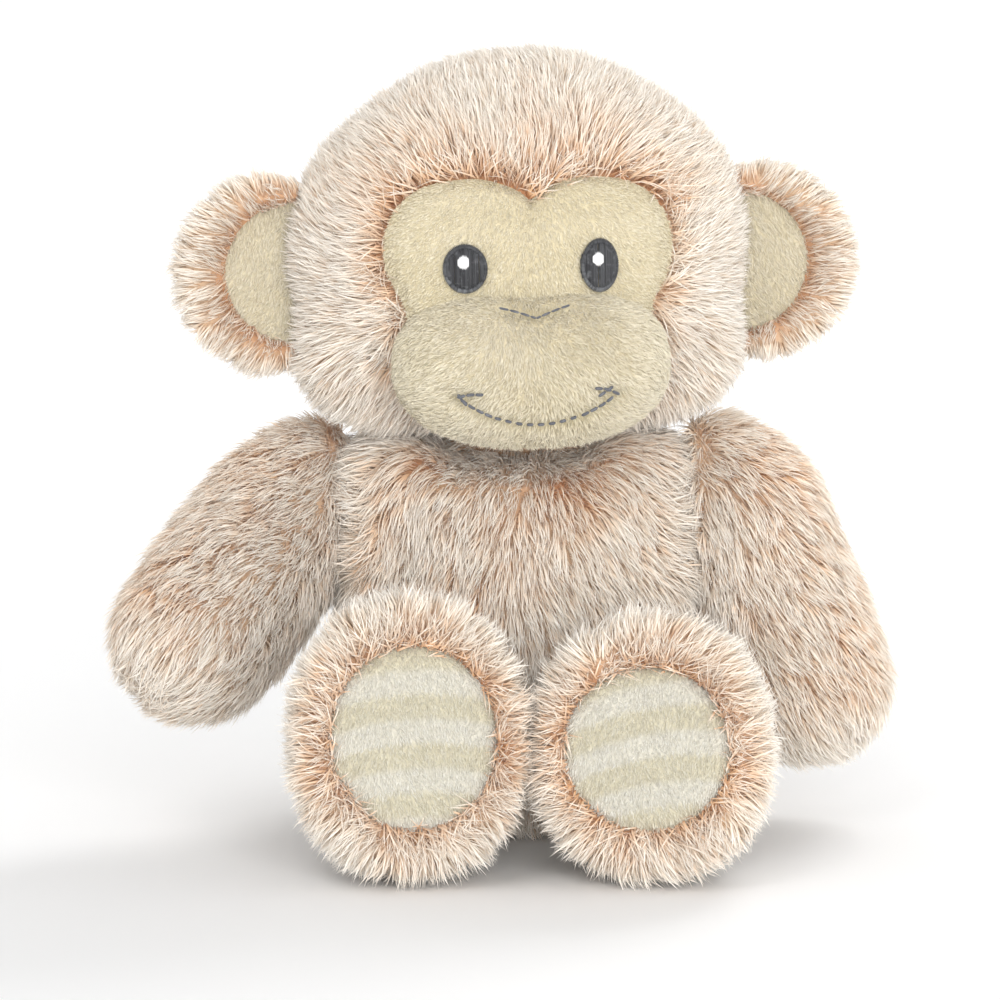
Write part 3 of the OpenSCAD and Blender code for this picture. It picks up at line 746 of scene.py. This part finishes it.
for s in (-1, 1):
    clothe("back_%s_fur" % SIDE[s],
           body.where(lambda m: (m[:, 1] > 0) & (m[:, 0] * s > 0) & (m[:, 2] > 2)).mesh("back_" + SIDE[s]),
           FROST, "torso", ["torso_back_" + SIDE[s]], "fur", fill=0.85, **BELLY)
seat = Skin(turned([(0, 1.2), (8, 1.2), (16, 1.2), (21, 1.6), (23.5, 3.2)], 4, 96))
if seat.normals()[:, 2].sum() > 0:
    seat.f = seat.f[:, ::-1]
seat.pile(seat.p * [1, 1, 0] + noise3(seat.p, 8, 11), 2.6, 0.5, 1.0)
clothe("seat_fur", seat.mesh("seat"), FROST, "torso", ["seat_panel"], "fur",
       **{**FUR, "Stand": 0.15, "Density": 2.4e6})

# fur round the neck seam
col = Skin(turned([(13, 84), (16.5, 88), (18, 91.5), (18, 95), (16, 99), (12, 103)], 5, 96))
col.face_out([0, 0, 93])
col.pile(col.p * [1, 1, 0] * 0.03 + [0, 0, -0.4], 8.0, 0.35, 1.0)
clothe("neck_seam_fur", col.mesh("neck_seam"), FROST, "neck", ["neck_stuffing"], "fur",
       **{**FUR, "Density": 2.0e6, "Stand": 0.75})

# ---------- arms ----------
for s in (-1, 1):
    sh, hd, ln = 21.0 - SKIN, 21.0 - SKIN, 42.0
    arc = np.radians(np.linspace(0, 90, 8))
    prof = [(0, sh)] + [(sh * math.sin(t), sh * math.cos(t)) for t in arc[1:]]
    prof += [(sh * 1.03, -13), ((sh + hd) / 2 + 0.9, -27)]
    prof += [(hd * math.cos(t), -ln - hd * math.sin(t)) for t in arc[:-1]] + [(0, -ln - hd)]
    arm = Skin(turned(prof, 4, 96))
    al = arm.p.copy()
    arm.face_out([0, 0, -21])
    cap = np.maximum(al[:, 2] / sh, 0) ** 1.5
    w = arm_world(s, al) + np.array([-s * 7.0, 0, 5.5]) * cap[:, None]
    pressed = np.maximum(ARM_PLANE + 0.6 - w[:, 0] * s, 0)
    w[:, 0] += s * pressed
    arm.p = w
    arm.n = arm.normals()
    axis = arm_world(s, [[0, 0, -1]])[0] - arm_world(s, [[0, 0, 0]])[0]
    inner = step(ARM_PLANE + 5 - w[:, 0] * s, 0, 5)
    comb = axis + 0.35 * noise3(w, 11, 12 + s) + np.array([s * 0.35, 0, -0.1]) * (1 - inner[:, None])
    comb = comb - np.array([s * 0.25, 0, 0]) * inner[:, None]
    tipz = step(-al[:, 2], 44, 58)
    length = (8.2 + 0.7 * noise3(w, 12, 14)[:, 0]) * (1 - 0.15 * inner)
    streak = step(al[:, 0] * s, -4, 12) * (1 - tipz) * 0.3
    # The band where the arm meets the body is warmer: partly the orange base where the fur parts, partly
    # painted shade of the crease.
    warm = 0.12 + streak + 0.3 * inner * (1 - inner) * 2
    warm = warm + 0.42 * np.clip(noise3(w * [1, 1, 0.6], 8, 16 + s)[:, 0], 0, 1) - 0.08 * tipz
    arm.pile(comb, length, warm, 1.0)
    m = al[arm.f].mean(1)
    for part, sel in (("outer", m[:, 0] * s > 0), ("inner", m[:, 0] * s <= 0)):
        clothe("arm_%s_%s_fur" % (part, SIDE[s]), arm.part(sel).mesh("arm"), FROST, "arm_" + SIDE[s],
               ["arm_%s_%s" % (part, SIDE[s])], "fur", fill=0.85, **BELLY)

# ---------- legs and feet ----------
for s in (-1, 1):
    hip = FOOT_H[s] / 2 + 0.3
    tube = turned([(0, -13), (7, -12), (11.4, -6.5), (12.4, 0), (11, 7), (13, 18), (15.2, 28), (16, 33)],
                  4, 84, "y")
    tube[..., 1] = HIP_Y - tube[..., 1]
    tube[..., 0] += FOOT_X[s]
    tube[..., 2] += hip
    leg = Skin(tube)
    leg.face_out([FOOT_X[s], -52.0, hip])
    leg.pile(np.array([0, -1.0, -0.35]) + 0.4 * noise3(leg.p, 10, 20), 8.0, 0.4, 1.0)
    clothe("leg_%s_fur" % SIDE[s], leg.mesh("leg"), FROST, "leg_" + SIDE[s], ["leg_fur_" + SIDE[s]],
           "fur", fill=0.85,
           **{**FUR, "Density": 2.6e6})

    # the foot is an upright egg; rings run round it from the edge of the sole to the heel
    pw, ph = 19.0, (38 + FOOT_H[s] - 61) / 2
    ang = np.linspace(0, 2 * math.pi, 132, endpoint=False)
    ca, sa = np.cos(ang), np.sin(ang)
    deep = -15.8 + (FOOT_R - SKIN + 15.8) * (1 - np.cos(np.linspace(0, math.pi, 54))) / 2
    rows = [np.stack([k * ca * pw, 0 * ca - 15.4 + 0.2 * k, k * sa * ph], -1) for k in (0.94, 0.99)]
    for y_ in deep:
        inset_ = 1.4 + (SKIN - 1.4) * float(step(np.array(y_), -16, 0))
        b_, a_ = FOOT_R - inset_, FOOT_H[s] / 2 - inset_
        lo_, hi_ = 0 * ca, 0 * ca + 40
        for _ in range(30):
            m_ = (lo_ + hi_) / 2
            q = np.clip(np.abs(m_ * sa / a_), 0, 1)
            inside = ((m_ * ca) ** 2
                      + y_ ** 2 < (b_ * (1 - q ** 2.25) ** (1 / 2.25)) ** 2) & (np.abs(m_ * sa) < a_)
            lo_, hi_ = np.where(inside, m_, lo_), np.where(inside, hi_, m_)
        rows.append(np.stack([lo_ * ca, 0 * ca + y_, lo_ * sa], -1))
    rows = np.array(rows)
    foot = Skin(rows)
    fl_ = foot.p.copy()
    foot.face_out([0, 0, 0])
    foot.p = foot_world(s, fl_)
    foot.n = foot.normals()
    fp = foot.p
    out_ = unit(fl_ - np.array([0, -32.0, 0]))
    comb = foot_world(s, out_) - foot_world(s, [0, 0, 0]) + 0.4 * noise3(fp, 10, 22
        + s) + np.array([0, 0.1, -0.1])
    front = step(-fl_[:, 1], 7, 14)
    bottom = step(14 - fp[:, 2], 2, 12)
    comb = comb + bottom[:, None] * np.array([0.5 * s, -0.2, 0.9])
    length = (8.0 + 0.9 * front + 0.6 * noise3(fp, 9, 24)[:, 0]) * (1 - 0.42 * bottom)
    rim = np.maximum(np.hypot(fl_[:, 0] / pw, fl_[:, 2] / ph) - 1, 0) * 19
    rim = np.exp(-(rim / 3.2) ** 2) * step(-fl_[:, 1], 10, 14)
    comb = unit(comb) * (1 - 0.7 * rim[:, None])
    warm = 0.12 + 0.6 * rim * (1 + 0.5 * noise3(fp, 5, 27)[:, 1]) + 0.2 * noise3(fp, 7, 26
        + s)[:, 0] + 0.12 * bottom
    foot.pile(comb, length, warm, 1 + 0.8 * rim)
    clothe("foot_%s_fur" % SIDE[s], foot.mesh("foot"), FROST, "leg_" + SIDE[s],
           ["foot_fur_" + SIDE[s]], "fur", fill=0.85, **BELLY)

    rr = np.concatenate([np.linspace(0, 0.9, 18), np.linspace(0.93, 1.03, 5)])
    dome = SOLE + 0.9 + 2.0 * step(rr, 0.78, 1.04) ** 1.5 - 0.9 * (1 - rr ** 2)
    pad = Skin(np.stack([rr[:, None] * pw * ca, dome[:, None] + 0 * ang, rr[:, None] * ph * sa], -1))
    pl_ = pad.p.copy()
    if pad.normals()[:, 1].sum() > 0:
        pad.f = pad.f[:, ::-1]
    pad.p = foot_world(s, pl_)
    slope = math.radians(2 if s < 0 else 12)
    across = pl_[:, 2] * math.cos(slope) - pl_[:, 0] * math.sin(slope) + 0.02 * pl_[:, 0] ** 2 * 0.4
    wave = 0.5 + 0.5 * np.sin(across / 10.8 * 2 * math.pi + (0.6 if s < 0 else 1.3))
    stripe = step(wave, 0.25, 0.75)
    pad.pile(np.array([0, 0, -1.0]) + 0.5 * noise3(pad.p, 6, 28), 1.3, 0.05 + 0.9 * stripe, 1.0)
    clothe("sole_pad_%s_plush" % SIDE[s], pad.mesh("pad"), SOLE_CLOTH, "leg_" + SIDE[s],
           ["sole_pad_" + SIDE[s]], "sole_plush",
           fibre=SHORT, fill=0.8, **{**PLUSH, "Locks": 0.6e6})

# ---------- ears ----------
EAR_ROOT = 51.5
for s in (-1, 1):
    E = np.array([s * 57.3, 0.0, -5.5])
    R = 20.6
    ang = np.linspace(0, 2 * math.pi, 120, endpoint=False)
    lin_c, lin_r = np.array([s * -5.2, 0.3]), 16.6
    # front rim: from the lining's edge out, over the rim and to the middle of the back
    rows = []
    circ = np.stack([np.cos(ang), np.sin(ang)], -1)
    inner = lin_c + lin_r * circ
    outer = R * circ
    for t in np.linspace(0, 1, 12):
        q = inner + (outer * 0.93 - inner) * t
        rows.append(np.stack([q[:, 0], -2.4 - 1.6 * np.sin(t * math.pi * 0.75) + 0 * ang, q[:, 1]], -1))
    for t in np.linspace(0.15, 1, 8):
        q = outer * (0.93 + 0.07 * math.sin(t * math.pi))
        rows.append(np.stack([q[:, 0], -3.53 + 7.2 * (1 - math.cos(t * math.pi)) / 2 + 0 * ang, q[:, 1]],
                             -1))
    for t in np.linspace(0.93, 0, 16)[1:]:
        q = outer * t
        rows.append(np.stack([q[:, 0], 3.7 + 0.9 * (1 - t ** 2) + 0 * ang, q[:, 1]], -1))
    ear = Skin(np.array(rows) + E)
    el = ear.p.copy()
    test = ear.normals()
    if np.sum(test[-len(ang) * 8:-len(ang), 1]) < 0:
        ear.f = ear.f[:, ::-1]
    ear.n = head_vector(ear.normals())
    rel = el - E
    comb = unit(rel * [1, 0, 1] - np.array([lin_c[0], 0, lin_c[1]]) + 1e-6) + 0.35 * noise3(el,
        9, 30) + np.array([0, 0.25, 0])
    fr = (rel[:, 1] < -1).astype(float)
    dist = np.hypot(rel[:, 0] - lin_c[0], rel[:, 2] - lin_c[1]) - lin_r
    warm = 0.05 + 0.6 * fr * np.exp(-(np.maximum(dist, 0) / 3.2) ** 2) + 0.15 * noise3(el, 8, 31)[:, 0]
    rootside = step(-(rel[:, 0] * s), -2, 4)
    ear.p = head_world(el)
    ear.pile(head_vector(comb), 6.6 - 2.0 * rootside, warm, 1.0)
    m = el[ear.f].mean(1)
    clothe("ear_%s_fur" % SIDE[s], ear.part(m[:, 0] * s > EAR_ROOT).mesh("ear"), FROST, "ear_" + SIDE[s],
           ["ear_fur_" + SIDE[s]], "fur", fill=0.4, **{**FUR, "Stand": 0.42, "Gather": 0.55})
    rr = np.linspace(0, 1.02, 18)
    dish = -2.2 + 1.0 * (1 - rr ** 2)
    lg = np.stack([E[0] + lin_c[0] + rr[:, None] * lin_r * np.cos(ang), E[1] + dish[:, None] + 0 * ang,
                   E[2] + lin_c[1] + rr[:, None] * lin_r * np.sin(ang)], -1)
    lg = Skin(lg)
    ll = lg.p.copy()
    if lg.normals()[:, 1].sum() > 0:
        lg.f = lg.f[:, ::-1]
    lg.n = head_vector(lg.normals())
    lg.p = head_world(ll)
    lg.pile(head_vector(np.array([s * 0.5, 0, -1.0]) + 0.4 * noise3(ll, 6, 33)), 1.6, 0.25
            + 0.3 * noise3(ll, 7, 34)[:, 0], 1.0)
    m = ll[lg.f].mean(1)
    clothe("ear_%s_lining" % SIDE[s], lg.part(m[:, 0] * s > EAR_ROOT).mesh("lining"), CREAM,
           "ear_" + SIDE[s], ["ear_lining_" + SIDE[s]], "cream_plush", fibre=SHORT, **PLUSH)

# ---------- tail ----------
ts = np.linspace(0, math.radians(100), 40)
path = np.stack([0 * ts, 41 + 24 * np.sin(ts), 20 + 24 - 24 * np.cos(ts)], -1)
rad = 3.4 * np.sqrt(np.clip(1 - np.linspace(0, 1, 40) ** 10, 0, 1))
ang = np.linspace(0, 2 * math.pi, 28, endpoint=False)
nrm = np.stack([0 * ts, -np.sin(ts), np.cos(ts)], -1)
tailg = path[:, None] + rad[:, None, None] * (np.cos(ang)[None, :, None] * np.array([1, 0, 0])
    + np.sin(ang)[None, :, None] * nrm[:, None])
tail = Skin(tailg)
tail.face_out(np.repeat(path, 28, 0))
tail.pile(np.repeat(np.stack([0 * ts, np.cos(ts), np.sin(ts)], -1), 28, 0) + 0.25 * noise3(tail.p, 8, 35),
          7.0, 0.45, 1.0)
clothe("tail_fur_cover", tail.mesh("tail"), FROST, "tail", ["tail_fur"], "fur", fill=0.7, **FUR)


# ---------- embroidery ----------
def skull_y(x, z, proud):
    a, b = HEAD_A + proud, HEAD_B + proud
    return -b * np.sqrt(np.maximum(1 - (x / a) ** 2 - (z / b) ** 2, 0))


def tubes(name, paths, radius, sides=6, flat=0.6, tones=None):
    """Threads: one rounded tube along each path, closed at its ends."""
    V, F, T = [], [], []
    for number, path in enumerate(paths):
        T += [tones[number] if tones else 0.0] * (len(path) * sides)
        path = np.asarray(path, float)
        n = len(path)
        tan = unit(np.gradient(path, axis=0))
        up = unit(np.cross(tan, np.array([0.02, -1.0, 0.01])))
        out_ = unit(np.cross(up, tan))
        base = sum(len(v) for v in V)
        ring_r = radius * np.sqrt(np.clip(1 - (np.linspace(-1, 1, n)) ** 8, 0.04, 1))
        ang_ = np.linspace(0, 2 * math.pi, sides, endpoint=False)
        g = path[:, None] + ring_r[:, None, None] * (np.cos(ang_)[None, :, None] * up[:, None]
                                                     + flat * np.sin(ang_)[None, :, None] * out_[:, None])
        V.append(g.reshape(-1, 3))
        for i in range(n - 1):
            for j in range(sides):
                k2 = (j + 1) % sides
                F.append((base + i * sides + j, base + i * sides + k2, base + (i + 1) * sides
                          + k2, base + (i + 1) * sides + j))
        F.append(tuple(base + j for j in range(sides))[::-1])
        F.append(tuple(base + (n - 1) * sides + j for j in range(sides)))
    me = bpy.data.meshes.new(name)
    me.from_pydata((np.vstack(V) * MM).tolist(), [], F)
    # tone: how far each thread is painted toward its lighter sheen colour
    me.attributes.new("tone", "FLOAT", "POINT").data.foreach_set("value", T)
    bm = bmesh.new()
    bm.from_mesh(me)
    bmesh.ops.recalc_face_normals(bm, faces=bm.faces)
    for f in bm.faces:
        f.smooth = True
    bm.to_mesh(me)
    bm.free()
    return me


def stitched(name, paths, radius, mat, body, nodes, slot, **kw):
    me = tubes(name, [head_world(q) for q in paths], radius, **kw)
    me.materials.append(mat)
    o = link(bpy.data.objects.new(name, me))
    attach(o, body)
    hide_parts(*nodes)
    return o


for s in (-1, 1):
    cx, cz = s * EYE_X, EYE_Z
    ew, eh = EYE_HALF[s]
    paths, tones = [], []
    for d in np.arange(-ew + 0.2, ew, 0.36):
        h = eh * math.sqrt(1 - (d / ew) ** 2)
        z_ = np.linspace(-h, h, 11)
        x_ = cx + d + 0.1 * rng.normal() + 0 * z_
        proud = -0.6 + 1.35 * np.sqrt(np.clip(1 - (z_ / (h + 0.1)) ** 4, 0, 1)) * math.sqrt(1
            - (d / (ew + 0.3)) ** 4) + 0.1 * rng.normal()
        paths.append(np.stack([x_, skull_y(x_, cz + z_, proud), cz + z_], -1))
        # each satin stitch gets a random amount of painted sheen
        tones.append(0.22 * rng.random())
    for t in np.arange(0, 2 * math.pi, 0.075):
        # rim stitches: random painted sheen, strongest on the lower left arc as a painted highlight
        tones.append(0.05 + 0.6 * max(0.0, -math.sin(t + 0.5)) * rng.random() + 0.2 * rng.random())
        k_ = np.linspace(0.8, 1.04, 5)
        x_, z_ = cx + ew * k_ * math.cos(t), cz + eh * k_ * math.sin(t)
        paths.append(np.stack([x_, skull_y(x_, z_, -0.2 + 0.9 * np.sin((k_ - 0.8) / 0.24 * math.pi)), z_],
                              -1))
    stitched("eye_%s_stitches" % SIDE[s], paths, 0.26, DARK, "head", ["eye_" + SIDE[s]],
             "dark_thread", tones=tones)
    paths = []
    for d in np.arange(-1.15, 1.2, 0.3):
        h = 1.7 * math.sqrt(max(1 - (d / 1.35) ** 2, 0.05))
        z_ = np.linspace(-h, h, 6)
        x_ = cx - 0.4 + d + 0 * z_
        paths.append(np.stack([x_,
                               skull_y(x_, cz + 1.5 + z_, 0.75
                                       + 0.35 * np.sqrt(np.clip(1 - (z_ / (h + 0.1)) ** 2, 0, 1))),
                                       cz + 1.5 + z_], -1))
    stitched("eye_glint_%s_stitches" % SIDE[s], paths, 0.24, WHITE, "head", ["eye_glint_" + SIDE[s]],
             "white_thread")


def on_muzzle(line, proud):
    line = np.asarray(line, float)
    lo = np.full(len(line), -70.0)
    hi = np.full(len(line), -36.0)
    for _ in range(30):
        m = (lo + hi) / 2
        q = np.stack([line[:, 0], m, line[:, 1]], -1)
        outside = muzzle_depth(q, proud) > 1
        lo, hi = np.where(outside, m, lo), np.where(outside, hi, m)
    return np.stack([line[:, 0], lo, line[:, 1]], -1)


def running(line, stitch, gap_, proud, lift=0.35):
    line = smooth_line(line, 12)
    d = np.concatenate([[0], np.cumsum(np.linalg.norm(np.diff(line, axis=0), axis=1))])
    out_ = []
    at = 0.0
    while at < d[-1] - stitch * 0.4:
        k_ = np.linspace(at, min(at + stitch, d[-1]), 7)
        q = np.stack([np.interp(k_, d, line[:, 0]), np.interp(k_, d, line[:, 1])], -1)
        y3 = on_muzzle(q, proud)
        y3[:, 1] -= lift * np.sin(np.linspace(0, math.pi, 7))
        out_.append(y3)
        at += stitch + gap_
    return out_


nose = running([(-8.2, -11.4), (-4.5, -12.3), (0, -13.8)], 2.3, 0.1,
               0.2) + running([(8.0, -11.2), (4.5, -12.2), (0, -13.8)], 2.3, 0.1, 0.2)
stitched("nose_line_stitches", nose, 0.27, GREY, "head", ["nose_stitches"], "grey_thread")
mouth = running(SMILE[:3], 2.0, 0.15, 0.12) + running(SMILE[2:7], 1.6, 0.9, -0.9) + running(SMILE[6:],
    2.0, 0.15, 0.12) \
    + running([(-18.2, -30.4), (-15.8, -33.6)], 1.7, 0.1, 0.2) + running([(13.6, -31.8), (17.6, -29.2)],
        2.0, 0.1, 0.2) + running([(-18.4, -31.2), (-15.5, -30.6), (-12.4, -30.6)], 2.0, 0.1, 0.1) \
    + running([(18.6, -31.6), (15.5, -30.2), (12.2, -29.8)], 2.0, 0.1, 0.1)
stitched("smile_stitches", mouth, 0.36, GREY, "head", ["mouth_stitches"], "grey_thread")

# ---------- inner pieces keep their shape and get their own cloth ----------
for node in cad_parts:
    obj = bpy.data.objects.get(node)
    if obj is None:
        continue
    mat = WADDING if "stuffing" in node else BEANS if "beans" in node else TAPE if "label" in node else None
    if mat:
        obj.data.materials.clear()
        obj.data.materials.append(mat)

for o in (LONG, SHORT):
    bpy.data.objects.remove(o)


# ---------- floor, light, camera ----------
def plain_finish(name, colour, rough):
    m, t, b = finish(name, 0.0, rough)
    b.inputs["Base Color"].default_value = (*colour, 1)
    return m


sweep = []
for yy, zz in [(-1.6, 0), (0.5, 0), (0.9, 0.02), (1.2, 0.12), (1.4, 0.35), (1.5, 0.8), (1.5, 2.4)]:
    sweep.append([(-2.6, yy, zz), (2.6, yy, zz)])
sweep = np.array(sweep) * 1000
fl = Skin(sweep, wrap=False)
if fl.normals()[:, 2].sum() < 0:
    fl.f = fl.f[:, ::-1]
fm = fl.mesh("floor")
fm.materials.append(plain_finish("pale_floor", (0.97, 0.97, 0.97), 0.9))
floor = link(bpy.data.objects.new("floor", fm))
sub = floor.modifiers.new("round", "SUBSURF")
sub.levels = sub.render_levels = 3
for pl in fm.polygons:
    pl.use_smooth = True

world = bpy.data.worlds.new("studio")
world.use_nodes = True
world.node_tree.nodes["Background"].inputs[0].default_value = (1, 1, 1, 1)
world.node_tree.nodes["Background"].inputs[1].default_value = 0.6
bpy.context.scene.world = world
bpy.context.scene.view_settings.view_transform = "Standard"


def lamp(name, place, aim, size, power):
    d = bpy.data.lights.new(name, "AREA")
    d.shape, d.size, d.energy = "DISK", size, power
    o = link(bpy.data.objects.new(name, d))
    o.location = place
    o.visible_camera = False
    o.rotation_euler = (Vector(aim) - Vector(place)).to_track_quat("-Z", "Y").to_euler()
    return o


lamp("key", (-0.6, -1.3, 1.4), (0, 0, 0.1), 0.9, 4.5)
lamp("front", (0.25, -1.6, 0.2), (0, 0, 0.06), 1.3, 30)
lamp("back", (0.65, 1.05, 1.0), (0, 0, 0.1), 0.8, 9)

cam = bpy.data.cameras.new("camera")
cam.lens = 166.3
cam.clip_start, cam.clip_end = 0.05, 20
camera = link(bpy.data.objects.new("camera", cam))
e, dist = math.radians(6.5), 1.1
camera.location = (-0.0038, -dist * math.cos(e), 0.0783 + dist * math.sin(e))
camera.rotation_euler = (math.radians(90) - e, 0, 0)
bpy.context.scene.camera = camera
